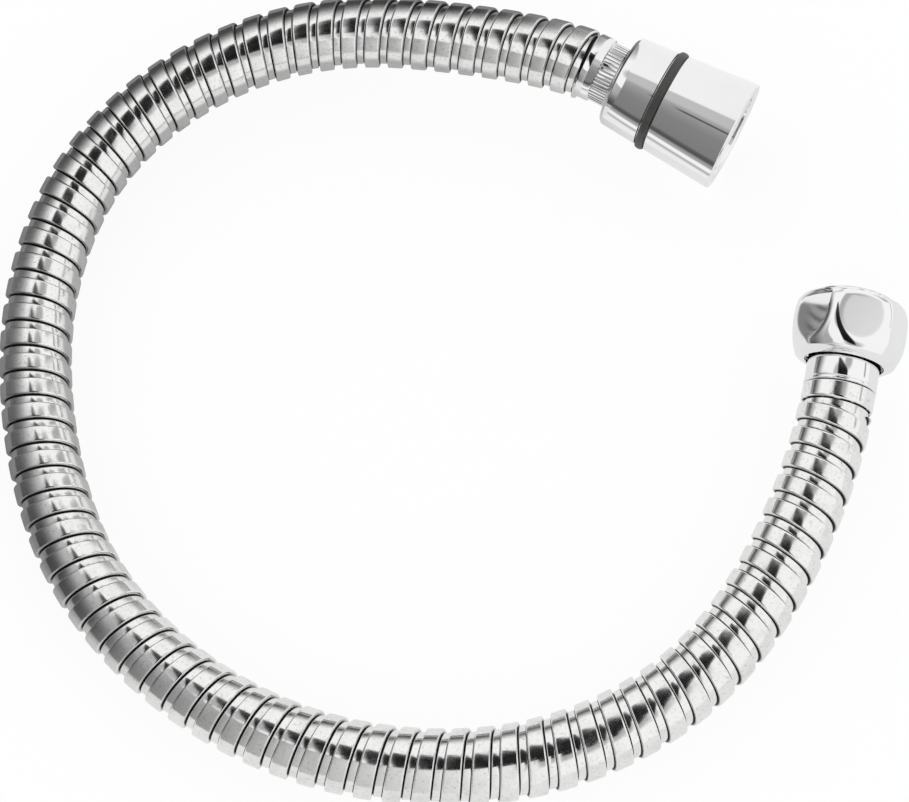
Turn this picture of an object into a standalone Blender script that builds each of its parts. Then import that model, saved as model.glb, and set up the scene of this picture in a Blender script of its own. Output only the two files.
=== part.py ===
"""A short flexible connector hose: wound metal strip over a plastic tube, with a swivel nut on each end.

It lies on its side in an open C on the plane z = 0. Sizes are in millimetres until they reach Blender.
Each end fitting is drawn along its own +Z, which starts at the mouth of its ferrule, where the strip goes
in, and points the way the nut faces.
"""

import math

import bmesh
import bpy
import numpy as np
from mathutils import Matrix, Vector

MM = 0.001

# Gaps
SEAT_GAP = 0.3  # between two pieces that bear on each other
TURN_GAP = 0.4  # between a nut and what it turns on

# Wound strip
HOSE_RADIUS = 7.5  # over the raised bands
BAND_DEPTH = 0.9  # how far the sunk bands lie below the raised ones
HOSE_BORE_RADIUS = 5.5
STRIP_PITCH = 5.5
RAISED_SHARE = 0.58  # of the pitch
FLANK_SHARE = 0.04  # of the pitch, each of the two
TUCKED_WALL = 0.5  # of the ends, rolled down to go into the ferrules
SHOULDER = 0.4  # from a ferrule's mouth to the first raised or sunk band
HOSE_SIDES = 12
WALL_STEP = 12.0  # between the rings of the plain bore, and of the tube in it

# Inner tube
TUBE_RADIUS = HOSE_BORE_RADIUS - SEAT_GAP
TUBE_WALL = 1.45

# Barbed inserts
INSERT_BORE_RADIUS = 2.5
SHANK_RADIUS = 3.1
BARB_HEIGHT = 0.25
BARB_LENGTH = 2.2
BARB_COUNT = 3
GRIP_LENGTH = 9.0  # of the shank inside the inner tube

# Hexagonal nut and its fittings
HEX_FERRULE_RADIUS = 7.25
HEX_NECK = 5.0  # of the ferrule, in sight between the strip and the nut
HEX_TUCK = 4.3  # of the strip, inside the ferrule
HEX_END_WALL = 1.2
HEX_BODY_LENGTH = 12.7
HEX_LIP_LENGTH = 1.4
HEX_LIP_RADIUS = 8.4
HEX_BARREL_RADIUS = 11.75
HEX_BARREL_CROWN = 16.0  # radius of the barrel's outline along the axis
HEX_BARREL_MIDDLE = 6.2  # of the widest place, from the rear face
HEX_ACROSS_FLATS = 21.5
HEX_EDGE = 0.5
HEX_COUNTERBORE_RADIUS = 8.0
HEX_COUNTERBORE_DEPTH = 2.2
HEX_SHOULDER_THICKNESS = 1.5
HEX_INSERT_NECK_RADIUS = 5.2
HEX_FLANGE_THICKNESS = 1.2
HEX_THREAD_RADIUS = 6.95  # at the crests of its inside thread
HEX_WASHER_THICKNESS = 1.8
HEX_WASHER_HOLE_RADIUS = 3.6
HEX_TURN = 12.3  # degrees from upright to the middle of the nearest flat

# Conical nut and its fittings
CONE_FERRULE_RADIUS = 6.85
CONE_NECK = 2.9
CONE_TUCK = 5.0
CONE_END_WALL = 1.5
CONE_LENGTH = 27.0
CONE_REAR_RADIUS = 9.85
CONE_FRONT_RADIUS = 12.0
CONE_BORE_DEPTH = 12.0
CONE_BORE_RADIUS = 7.4
CONE_EDGE = 0.35
CONE_THREAD_RADIUS = 9.3
CONE_FLANGE_THICKNESS = 1.5
CONE_WASHER_THICKNESS = 2.0
CONE_WASHER_HOLE_RADIUS = 4.5
RING_CENTRE = 10.0  # from the conical nut's rear face
RING_WIDTH = 1.7
RING_THICKNESS = 1.15
RING_PROUD = 0.5

MOUTH_CHAMFER = 0.6
FLANGE_SPARE = 0.35  # between a flange or washer and the thread round it

# Where the hose lies. Its height is the middle's, and both ends rise to the axes of their nuts.
LOOP_WIDTH = 166.3  # of the route along X, from its leftmost point to the hexagonal nut's ferrule
LOOP_DEPTH = 158.3  # of the route along Y, from its nearest point to its furthest
HEX_BEARING = 78.8
HEX_SLOPE = 4.5
CONE_BEARING = -27.55
CONE_SLOPE = -7.25
ROUTE = [  # shape of the route, which is drawn out to the loop's width and depth
    (79.97, -2.83, 11.17),
    (75.37, -19.73, 9.92),
    (68.47, -36.03, 8.92),
    (59.37, -51.03, 8.12),
    (47.27, -63.73, 7.72),
    (32.27, -72.83, 7.52),
    (15.47, -78.03, 7.52),
    (-2.13, -79.13, 7.52),
    (-19.53, -76.73, 7.52),
    (-36.13, -70.93, 7.52),
    (-51.23, -61.93, 7.52),
    (-64.33, -50.03, 7.52),
    (-74.53, -35.73, 7.52),
    (-81.23, -19.53, 7.52),
    (-85.13, -2.33, 7.52),
    (-86.33, 15.27, 7.72),
    (-83.93, 32.67, 8.42),
    (-77.23, 48.87, 9.72),
    (-66.03, 62.17, 11.22),
    (-51.43, 71.87, 12.82),
    (-34.73, 77.67, 14.02),
    (-17.33, 79.17, 14.82),
    (0.07, 77.07, 15.42),
    (17.47, 73.37, 15.92),
    (33.79, 67.28, 15.72),
]
STEPS_PER_SPAN = 16

FITTING_SIDES = 24
SAME_PLACE = 0.001  # corners nearer than this are one

FINISHES = {
    "polished_strip": ((0.80, 0.80, 0.81), 1.0, 0.12),
    "chrome": ((0.86, 0.86, 0.87), 1.0, 0.05),
    "brass": ((0.78, 0.60, 0.30), 1.0, 0.25),
    "clear_plastic": ((0.82, 0.83, 0.80), 0.0, 0.35),
    "black_rubber": ((0.03, 0.03, 0.03), 0.0, 0.55),
}


def clear_scene():
    for obj in list(bpy.data.objects):
        bpy.data.objects.remove(obj, do_unlink=True)


def finish(name):
    material = bpy.data.materials.get(name)
    if material is None:
        colour, metallic, roughness = FINISHES[name]
        material = bpy.data.materials.new(name)
        material.use_nodes = True
        shader = material.node_tree.nodes["Principled BSDF"]
        shader.inputs["Base Color"].default_value = (*colour, 1.0)
        shader.inputs["Metallic"].default_value = metallic
        shader.inputs["Roughness"].default_value = roughness
    return material


def add_object(name, bm, finish_name, parent=None):
    """Link the bmesh as a named object, with sharp edges where the surface turns by 30 degrees or more."""
    bmesh.ops.recalc_face_normals(bm, faces=bm.faces[:])
    mesh = bpy.data.meshes.new(name)
    bm.to_mesh(mesh)
    bm.free()
    mesh.shade_smooth()
    mesh.set_sharp_from_angle(angle=math.radians(30))
    mesh.materials.append(finish(finish_name))
    obj = bpy.data.objects.new(name, mesh)
    bpy.context.scene.collection.objects.link(obj)
    obj.parent = parent
    return obj


def direction(bearing, slope):
    """Unit vector at a bearing from +X and a slope up from level, both in degrees."""
    level = math.cos(math.radians(slope))
    return np.array(
        [
            level * math.cos(math.radians(bearing)),
            level * math.sin(math.radians(bearing)),
            math.sin(math.radians(slope)),
        ]
    )


def laid_route():
    """The route's points, drawn out to the loop's width and depth."""
    points = np.array(ROUTE, float)
    across = np.ptp(points, axis=0)
    points[:, 0] *= LOOP_WIDTH / across[0]
    points[:, 1] *= LOOP_DEPTH / across[1]
    return points


class Centreline:
    """Smooth curve through the route's points, measured along its length from the hexagonal nut's ferrule."""

    def __init__(self, points, start, end, run_in, run_out):
        spans = np.linalg.norm(np.diff(points, axis=0), axis=1)
        slopes = self.slopes_of(points, spans, start, end)
        curve = [points[0] - start * run_in]
        for i, span in enumerate(spans):
            for t in np.arange(STEPS_PER_SPAN) / STEPS_PER_SPAN:
                curve.append(self.between(points, slopes, span, i, t))
        curve += [points[-1], points[-1] + end * run_out]
        self.curve = np.array(curve)
        steps = np.linalg.norm(np.diff(self.curve, axis=0), axis=1)
        self.reach = np.concatenate([[0.0], np.cumsum(steps)]) - run_in
        self.length = self.reach[-1] - run_out
        self.tangents = np.gradient(self.curve, self.reach, axis=0)
        self.tangents[:2] = start
        self.tangents[-2:] = end

    @staticmethod
    def slopes_of(points, spans, start, end):
        """Slopes that make the curve's bend run on smoothly from each span to the next."""
        count = len(points)
        system = np.eye(count)
        wanted = np.zeros((count, 3))
        wanted[0] = start
        wanted[-1] = end
        for i in range(1, count - 1):
            before, after = spans[i - 1], spans[i]
            system[i, i - 1 : i + 2] = after, 2 * (before + after), before
            rise_before = (points[i] - points[i - 1]) / before
            rise_after = (points[i + 1] - points[i]) / after
            wanted[i] = 3 * (after * rise_before + before * rise_after)
        return np.linalg.solve(system, wanted)

    @staticmethod
    def between(points, slopes, span, i, t):
        """Cubic between point i and the next, at share t."""
        here = (2 * t**3 - 3 * t**2 + 1) * points[i]
        here = here + (t**3 - 2 * t**2 + t) * span * slopes[i]
        here = here + (3 * t**2 - 2 * t**3) * points[i + 1]
        return here + (t**3 - t**2) * span * slopes[i + 1]

    def around(self, reach, radius, turn):
        """Point at a radius from the centreline and a turn about it, in radians from the top."""
        centre = np.array([np.interp(reach, self.reach, axis) for axis in self.curve.T])
        along = np.array([np.interp(reach, self.reach, axis) for axis in self.tangents.T])
        along /= np.linalg.norm(along)
        side = np.cross(along, (0.0, 0.0, 1.0))
        side /= np.linalg.norm(side)
        top = np.cross(side, along)
        return Vector((centre + radius * (math.cos(turn) * top + math.sin(turn) * side)) * MM)


def ring(bm, route, reach, radius):
    """Vertices of one square-cut ring round the centreline."""
    turns = [2 * math.pi * i / HOSE_SIDES for i in range(HOSE_SIDES)]
    return [bm.verts.new(route.around(reach, radius, turn)) for turn in turns]


def join_rings(bm, first, second):
    count = len(first)
    for i in range(count):
        j = (i + 1) % count
        bm.faces.new((first[i], first[j], second[j], second[i]))


def plain_wall(bm, route, start, end, radius):
    """Rings along the centreline, joined. Returns the first and the last."""
    steps = math.ceil(route.length / WALL_STEP)
    reaches = [start, *np.linspace(0.0, route.length, steps + 1), end]
    rings = [ring(bm, route, reach, radius) for reach in reaches]
    for first, second in zip(rings, rings[1:]):
        join_rings(bm, first, second)
    return rings[0], rings[-1]


def strip_profile():
    """Share of the pitch and radius of each corner of one turn of the strip."""
    sunk = HOSE_RADIUS - BAND_DEPTH
    return [
        (0.0, HOSE_RADIUS),
        (RAISED_SHARE, HOSE_RADIUS),
        (RAISED_SHARE + FLANK_SHARE, sunk),
        (1.0 - FLANK_SHARE, sunk),
    ]


def wound_turns(bm, route, start, end):
    """The strip's outside: a left-handed helix of raised and sunk bands, as lines of corners on each side.

    Each line is a dictionary from corner number to vertex. Corner numbers run on from turn to turn.
    """
    profile = strip_profile()
    turns = math.ceil(end / STRIP_PITCH) + 2
    lines = []
    for i in range(HOSE_SIDES + 1):
        lag = i / HOSE_SIDES
        line = {}
        for number in range(turns * len(profile)):
            turn, corner = divmod(number, len(profile))
            share, radius = profile[corner]
            reach = (turn - 1 + share - lag) * STRIP_PITCH
            if start < reach < end:
                line[number] = (reach, radius)
        lines.append(line)
    for i in range(HOSE_SIDES):
        for number, (reach, radius) in lines[i].items():
            turn = 2 * math.pi * i / HOSE_SIDES
            lines[i][number] = bm.verts.new(route.around(reach, radius, turn))
    # one turn further round is the same place as one turn further back along the hose
    per_turn = len(profile)
    lines[HOSE_SIDES] = {number + per_turn: vert for number, vert in lines[0].items()}
    return lines


def close_turns(bm, lines, first_ring, last_ring):
    """Faces between neighbouring lines, and up to the square rings where the strip meets the ferrules."""
    for i in range(HOSE_SIDES):
        left, right = lines[i], lines[i + 1]
        after = (i + 1) % HOSE_SIDES
        low = max(min(left), min(right))
        high = min(max(left), max(right))
        for number in range(low, high):
            bm.faces.new((left[number], right[number], right[number + 1], left[number + 1]))
        right_foot = [right[n] for n in range(min(right), low + 1)]
        left_foot = [left[n] for n in range(low, min(left) - 1, -1)]
        bm.faces.new([first_ring[i], first_ring[after], *right_foot, *left_foot])
        left_head = [left[n] for n in range(high, max(left) + 1)]
        right_head = [right[n] for n in range(max(right), high - 1, -1)]
        bm.faces.new([*left_head, last_ring[i], last_ring[after], *right_head])


def make_spiral_hose(route):
    """Wound interlocked strip: ridged outside, plain bore, its ends rolled down and sawn square."""
    bm = bmesh.new()
    tucked = HOSE_BORE_RADIUS + TUCKED_WALL
    start, end = -HEX_TUCK, route.length + CONE_TUCK
    first_mouth, last_mouth = SHOULDER, route.length - SHOULDER
    end_rings = [ring(bm, route, reach, tucked) for reach in (start, end)]
    mouth_rings = [ring(bm, route, reach, tucked) for reach in (first_mouth, last_mouth)]
    lines = wound_turns(bm, route, first_mouth + SHOULDER / 2, last_mouth - SHOULDER / 2)
    close_turns(bm, lines, *mouth_rings)
    bore_rings = plain_wall(bm, route, start, end, HOSE_BORE_RADIUS)
    for end_ring, mouth_ring, bore_ring in zip(end_rings, mouth_rings, bore_rings):
        join_rings(bm, end_ring, mouth_ring)
        join_rings(bm, end_ring, bore_ring)
    return add_object("spiral_hose", bm, "polished_strip")


def make_inner_tube(route, tube_ends):
    """Plastic tube that carries the water, from one ferrule's end wall to the other's."""
    bm = bmesh.new()
    start, end = -tube_ends[0], route.length + tube_ends[1]
    outside = plain_wall(bm, route, start, end, TUBE_RADIUS)
    inside = plain_wall(bm, route, start, end, TUBE_RADIUS - TUBE_WALL)
    for outer_ring, inner_ring in zip(outside, inside):
        join_rings(bm, outer_ring, inner_ring)
    return add_object("inner_tube", bm, "clear_plastic")


def turned(profile):
    """Solid of revolution about Z from a closed outline of (radius, height) points."""
    bm = bmesh.new()
    verts = [bm.verts.new((radius * MM, 0.0, height * MM)) for radius, height in profile]
    edges = [bm.edges.new((a, b)) for a, b in zip(verts, verts[1:] + verts[:1])]
    bmesh.ops.spin(
        bm,
        geom=verts + edges,
        cent=(0.0, 0.0, 0.0),
        axis=(0.0, 0.0, 1.0),
        angle=2 * math.pi,
        steps=FITTING_SIDES,
        use_merge=True,
    )
    bmesh.ops.remove_doubles(bm, verts=bm.verts[:], dist=SAME_PLACE * MM)
    return bm


def washer_outline(hole, outside, rear, thickness):
    front = rear + thickness
    return [(outside, rear), (outside, front), (hole, front), (hole, rear)]


def ferrule_outline(outside, length, tuck, end_wall):
    """Sleeve with a wide mouth for the strip, a seat for the inner tube and a holed end wall."""
    strip_room = HOSE_BORE_RADIUS + TUCKED_WALL + SEAT_GAP
    tube_room = TUBE_RADIUS + SEAT_GAP
    hole = SHANK_RADIUS + BARB_HEIGHT + SEAT_GAP
    step = tuck + SEAT_GAP
    wall = length - end_wall
    rim = SEAT_GAP
    return [
        (outside - rim, 0.0),
        (outside, rim),
        (outside, length),
        (hole, length),
        (hole, wall),
        (tube_room, wall),
        (tube_room, step),
        (strip_room, step),
        (strip_room, 0.0),
    ]


def insert_outline(tube_end, neck_radius, neck_start, flange_radius, flange_rear, flange_thickness):
    """Barbed shank, neck and flange round one straight bore. The barbs hold against a pull out of the tube."""
    front = flange_rear + flange_thickness
    tip = tube_end - GRIP_LENGTH
    outline = [(INSERT_BORE_RADIUS, front), (INSERT_BORE_RADIUS, tip)]
    for i in range(BARB_COUNT):
        foot = tip + i * BARB_LENGTH
        outline.append((SHANK_RADIUS, foot))
        outline.append((SHANK_RADIUS + BARB_HEIGHT, foot + BARB_LENGTH))
    outline.append((SHANK_RADIUS, tip + BARB_COUNT * BARB_LENGTH))
    outline.append((SHANK_RADIUS, neck_start))
    outline.append((neck_radius, neck_start))
    if neck_start < flange_rear:
        outline.append((neck_radius, flange_rear))
    outline.append((flange_radius, flange_rear))
    outline.append((flange_radius, front))
    return outline


def barrel_radius(height):
    """Of the hexagonal nut's barrel, at a height above its rear face."""
    offset = height - HEX_BARREL_MIDDLE
    crown = HEX_BARREL_CROWN
    return HEX_BARREL_RADIUS - crown + math.sqrt(crown**2 - offset**2)


def hex_nut_outline():
    """Barrel outside with a narrow front lip, counterbore, shoulder and threaded socket inside."""
    rear = HEX_NECK
    face = rear + HEX_BODY_LENGTH
    front = face + HEX_LIP_LENGTH
    shoulder_rear = rear + HEX_COUNTERBORE_DEPTH
    shoulder_front = shoulder_rear + HEX_SHOULDER_THICKNESS
    hole = HEX_INSERT_NECK_RADIUS + TURN_GAP
    heights = np.linspace(HEX_EDGE, HEX_BODY_LENGTH - HEX_EDGE, 8)
    lip_edge = HEX_LIP_RADIUS - HEX_EDGE / 2
    return [
        (barrel_radius(0.0) - HEX_EDGE, rear),
        *[(barrel_radius(height), rear + height) for height in heights],
        (barrel_radius(HEX_BODY_LENGTH) - HEX_EDGE, face),
        (HEX_LIP_RADIUS, face),
        (HEX_LIP_RADIUS, front - HEX_EDGE / 2),
        (lip_edge, front),
        (HEX_THREAD_RADIUS + MOUTH_CHAMFER, front),
        (HEX_THREAD_RADIUS, front - MOUTH_CHAMFER),
        (HEX_THREAD_RADIUS, shoulder_front),
        (hole, shoulder_front),
        (hole, shoulder_rear),
        (HEX_COUNTERBORE_RADIUS, shoulder_rear),
        (HEX_COUNTERBORE_RADIUS, rear),
    ]


def cone_radius(height):
    """Of the conical nut, at a height above its rear face."""
    return CONE_REAR_RADIUS + (CONE_FRONT_RADIUS - CONE_REAR_RADIUS) * height / CONE_LENGTH


def ring_radii():
    """Inside and outside radius of the grip ring."""
    outside = cone_radius(RING_CENTRE) + RING_PROUD
    return outside - RING_THICKNESS, outside


def cone_nut_outline():
    """Smooth cone with a groove for its ring outside, and a long plain bore and threaded socket inside."""
    rear = CONE_NECK
    front = rear + CONE_LENGTH
    shoulder = rear + CONE_BORE_DEPTH
    groove_floor = ring_radii()[0] - SEAT_GAP
    groove_half = RING_WIDTH / 2 + SEAT_GAP
    groove_rear = RING_CENTRE - groove_half
    groove_front = RING_CENTRE + groove_half
    return [
        (CONE_REAR_RADIUS - CONE_EDGE, rear),
        (cone_radius(CONE_EDGE), rear + CONE_EDGE),
        (cone_radius(groove_rear), rear + groove_rear),
        (groove_floor, rear + groove_rear),
        (groove_floor, rear + groove_front),
        (cone_radius(groove_front), rear + groove_front),
        (cone_radius(CONE_LENGTH - CONE_EDGE), front - CONE_EDGE),
        (CONE_FRONT_RADIUS - CONE_EDGE, front),
        (CONE_THREAD_RADIUS + MOUTH_CHAMFER, front),
        (CONE_THREAD_RADIUS, front - MOUTH_CHAMFER),
        (CONE_THREAD_RADIUS, shoulder),
        (CONE_BORE_RADIUS, shoulder),
        (CONE_BORE_RADIUS, rear),
    ]


def ring_outline():
    """Rubber ring with rounded outside corners."""
    inside, outside = ring_radii()
    centre = CONE_NECK + RING_CENTRE
    half = RING_WIDTH / 2
    soft = RING_PROUD * 0.8
    return [
        (inside, centre - half),
        (outside - soft, centre - half),
        (outside, centre - half + soft),
        (outside, centre + half - soft),
        (outside - soft, centre + half),
        (inside, centre + half),
    ]


def fitting_axis(name, mouth, axis, turn):
    """Empty at a ferrule's mouth, its Z along the nut's axis and its X turned from the top."""
    along = Vector(axis)
    side = along.cross(Vector((0.0, 0.0, 1.0))).normalized()
    top = side.cross(along).normalized()
    frame = Matrix((top, along.cross(top), along)).transposed().to_4x4()
    empty = bpy.data.objects.new(name, None)
    bpy.context.scene.collection.objects.link(empty)
    spin = Matrix.Rotation(math.radians(turn), 4, "Z")
    empty.matrix_world = Matrix.Translation(Vector(mouth) * MM) @ frame @ spin
    return empty


def mill_flats(nut):
    """Keep what of the barrel lies inside a hexagon, which leaves six round-ended flats."""
    corner = HEX_ACROSS_FLATS / 2 / math.cos(math.pi / 6)
    bm = bmesh.new()
    bmesh.ops.create_cone(
        bm,
        cap_ends=True,
        segments=6,
        radius1=corner * MM,
        radius2=corner * MM,
        depth=3 * HEX_BODY_LENGTH * MM,
    )
    middle = HEX_NECK + HEX_BODY_LENGTH / 2
    bmesh.ops.rotate(bm, verts=bm.verts[:], matrix=Matrix.Rotation(math.pi / 6, 3, "Z"))
    bmesh.ops.translate(bm, verts=bm.verts[:], vec=(0.0, 0.0, middle * MM))
    cutter = add_object("hexagon_cutter", bm, "chrome", nut.parent)
    cutter.hide_render = True
    cutter.display_type = "WIRE"
    flats = nut.modifiers.new("flats", "BOOLEAN")
    flats.operation = "INTERSECT"
    flats.solver = "EXACT"
    flats.object = cutter


def make_hex_end(axis):
    """Ferrule, insert, washer and hexagonal nut. Returns how far the inner tube goes in past the mouth."""
    shoulder_rear = HEX_NECK + HEX_COUNTERBORE_DEPTH
    flange_rear = shoulder_rear + HEX_SHOULDER_THICKNESS + SEAT_GAP
    flange_radius = HEX_THREAD_RADIUS - FLANGE_SPARE
    ferrule_length = shoulder_rear - TURN_GAP
    washer_rear = flange_rear + HEX_FLANGE_THICKNESS + SEAT_GAP
    ferrule = ferrule_outline(HEX_FERRULE_RADIUS, ferrule_length, HEX_TUCK, HEX_END_WALL)
    tube_end = ferrule_length - HEX_END_WALL - SEAT_GAP
    insert = insert_outline(
        tube_end,
        HEX_INSERT_NECK_RADIUS,
        ferrule_length + SEAT_GAP,
        flange_radius,
        flange_rear,
        HEX_FLANGE_THICKNESS,
    )
    washer = washer_outline(
        HEX_WASHER_HOLE_RADIUS, flange_radius, washer_rear, HEX_WASHER_THICKNESS
    )
    add_object("hex_end_ferrule", turned(ferrule), "chrome", axis)
    add_object("hex_end_insert", turned(insert), "brass", axis)
    add_object("hex_end_washer", turned(washer), "black_rubber", axis)
    mill_flats(add_object("hex_nut", turned(hex_nut_outline()), "chrome", axis))
    return tube_end


def make_cone_end(axis):
    """Ferrule, insert, washer, conical nut and ring. Returns how far the inner tube goes in past the mouth."""
    ferrule_length = CONE_NECK + CONE_BORE_DEPTH
    flange_rear = ferrule_length + SEAT_GAP
    flange_radius = CONE_THREAD_RADIUS - FLANGE_SPARE
    washer_rear = flange_rear + CONE_FLANGE_THICKNESS + SEAT_GAP
    ferrule = ferrule_outline(CONE_FERRULE_RADIUS, ferrule_length, CONE_TUCK, CONE_END_WALL)
    tube_end = ferrule_length - CONE_END_WALL - SEAT_GAP
    insert = insert_outline(
        tube_end, flange_radius, flange_rear, flange_radius, flange_rear, CONE_FLANGE_THICKNESS
    )
    washer = washer_outline(
        CONE_WASHER_HOLE_RADIUS, flange_radius, washer_rear, CONE_WASHER_THICKNESS
    )
    add_object("cone_end_ferrule", turned(ferrule), "chrome", axis)
    add_object("cone_end_insert", turned(insert), "brass", axis)
    add_object("cone_end_washer", turned(washer), "black_rubber", axis)
    add_object("cone_nut", turned(cone_nut_outline()), "chrome", axis)
    add_object("cone_grip_ring", turned(ring_outline()), "black_rubber", axis)
    return tube_end


def main():
    clear_scene()
    hex_facing = direction(HEX_BEARING, HEX_SLOPE)
    cone_facing = direction(CONE_BEARING, CONE_SLOPE)
    points = laid_route()
    hex_axis = fitting_axis("hex_end_axis", points[0], hex_facing, HEX_TURN)
    cone_axis = fitting_axis("cone_end_axis", points[-1], cone_facing, 0.0)
    tube_ends = make_hex_end(hex_axis), make_cone_end(cone_axis)
    route = Centreline(points, -hex_facing, cone_facing, *tube_ends)
    make_spiral_hose(route)
    make_inner_tube(route, tube_ends)


main()
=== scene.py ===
"""Flexible connector hose: the looks of its wound strip, its fittings and the studio it is shown in.

The strip is wound and closed in a straight line, then bent along the hose's route. Each end fitting is
turned along its own +Z, which starts at the mouth of its ferrule, and is then set on the hose's end.
"""

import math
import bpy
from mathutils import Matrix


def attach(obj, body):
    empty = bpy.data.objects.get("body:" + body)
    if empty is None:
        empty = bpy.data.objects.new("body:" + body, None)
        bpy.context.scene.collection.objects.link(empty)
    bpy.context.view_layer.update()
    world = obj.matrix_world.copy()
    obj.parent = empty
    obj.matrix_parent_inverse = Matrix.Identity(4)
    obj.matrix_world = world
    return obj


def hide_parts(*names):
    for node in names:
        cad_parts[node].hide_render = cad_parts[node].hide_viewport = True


bl_info = {
    "name": "Flexible connector hose",
    "version": (1, 0, 0),
    "blender": (4, 5, 0),
    "location": "3D View > Sidebar > Hose",
    "description": "Wound metal hose with a hexagonal and a conical swivel nut",
    "category": "Object",
}

import bpy
import numpy as np
from mathutils import Matrix, Vector
from mathutils.geometry import interpolate_bezier

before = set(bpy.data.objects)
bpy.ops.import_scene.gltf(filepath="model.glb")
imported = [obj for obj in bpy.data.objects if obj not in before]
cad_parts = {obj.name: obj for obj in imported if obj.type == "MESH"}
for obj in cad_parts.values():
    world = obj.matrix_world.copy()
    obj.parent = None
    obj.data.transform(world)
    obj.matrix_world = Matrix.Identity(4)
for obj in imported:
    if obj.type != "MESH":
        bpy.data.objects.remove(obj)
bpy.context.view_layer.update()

# Vertices closer than this are one vertex, and edges closer than this to a cut belong to its rim
SAME_PLACE = 0.000003
ON_RIM = 0.00002

# Route of the hose's middle, from the hexagonal nut's ferrule to the conical nut's
HEX_BEARING = 78.8
HEX_SLOPE = 4.5
HEX_TURN = 12.3
CONE_BEARING = -27.55
CONE_SLOPE = -7.25
ROUTE = [
    (0.07997, -0.00283, 0.01117),
    (0.07537, -0.01973, 0.00992),
    (0.06847, -0.03603, 0.00892),
    (0.05937, -0.05103, 0.00812),
    (0.04727, -0.06373, 0.00772),
    (0.03227, -0.07283, 0.00752),
    (0.01547, -0.07803, 0.00752),
    (-0.00213, -0.07913, 0.00752),
    (-0.01953, -0.07673, 0.00752),
    (-0.03613, -0.07093, 0.00752),
    (-0.05123, -0.06193, 0.00752),
    (-0.06433, -0.05003, 0.00752),
    (-0.07453, -0.03573, 0.00752),
    (-0.08123, -0.01953, 0.00752),
    (-0.08513, -0.00233, 0.00752),
    (-0.08633, 0.01527, 0.00772),
    (-0.08393, 0.03267, 0.00842),
    (-0.07723, 0.04887, 0.00972),
    (-0.06603, 0.06217, 0.01122),
    (-0.05143, 0.07187, 0.01282),
    (-0.03473, 0.07767, 0.01402),
    (-0.01733, 0.07917, 0.01482),
    (0.00007, 0.07707, 0.01542),
    (0.01747, 0.07337, 0.01592),
    (0.03379, 0.06728, 0.01572),
]

# Outside of one turn of the strip, from one lip to the next: share of the pitch, and height over the groove
# as a share of the groove's depth
STRIP_OUTLINE = [
    (0.0, -0.35),
    (0.0, 0.66),
    (0.004, 0.82),
    (0.014, 0.93),
    (0.035, 0.985),
    (0.07, 1.0),
    (0.32, 1.0),
    (0.56, 1.0),
    (0.59, 0.98),
    (0.612, 0.91),
    (0.628, 0.78),
    (0.638, 0.58),
    (0.646, 0.30),
    (0.650, -0.06),
    (0.670, -0.06),
    (0.675, 0.02),
    (0.70, 0.04),
    (0.80, 0.055),
    (0.915, 0.05),
    (0.94, 0.03),
    (0.953, -0.06),
    (0.956, -0.35),
]

# Gaps of one turn, which get painted shade: the shares of the pitch that each lies between, and the height
# that the painted shade in each reaches up to, as a share of the groove's depth, with the height that both
# fade over
LIP_GAP = (0.95, 0.002)
LIP_SHADE_TOP = 0.40
FOOT_GAP = (0.632, 0.672)
FOOT_SHADE_TOP = 0.66
SHADE_FADES = 0.2

# Where every fifth lap of the strip comes to lie along the hose, as its turns aren't evenly spaced
LAP_STEP = 5
LAP_LEAD = 0.03
LAP_PLACES = [
    0.0006,
    0.0281,
    0.0566,
    0.0840,
    0.1106,
    0.1372,
    0.1639,
    0.1913,
    0.2194,
    0.2464,
    0.2742,
    0.3017,
    0.3283,
    0.3548,
    0.3817,
    0.4082,
    0.4347,
]


class Value:
    """An output of a shader node. Sums with it add their Math nodes."""

    def __init__(self, tree, socket):
        self.tree = tree
        self.socket = socket

    def __add__(self, other):
        return self.tree.sum("ADD", self, other)

    __radd__ = __add__

    def __sub__(self, other):
        return self.tree.sum("SUBTRACT", self, other)

    def __rsub__(self, other):
        return self.tree.sum("SUBTRACT", other, self)

    def __mul__(self, other):
        return self.tree.sum("MULTIPLY", self, other)

    __rmul__ = __mul__

    def __truediv__(self, other):
        return self.tree.sum("DIVIDE", self, other)


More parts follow.
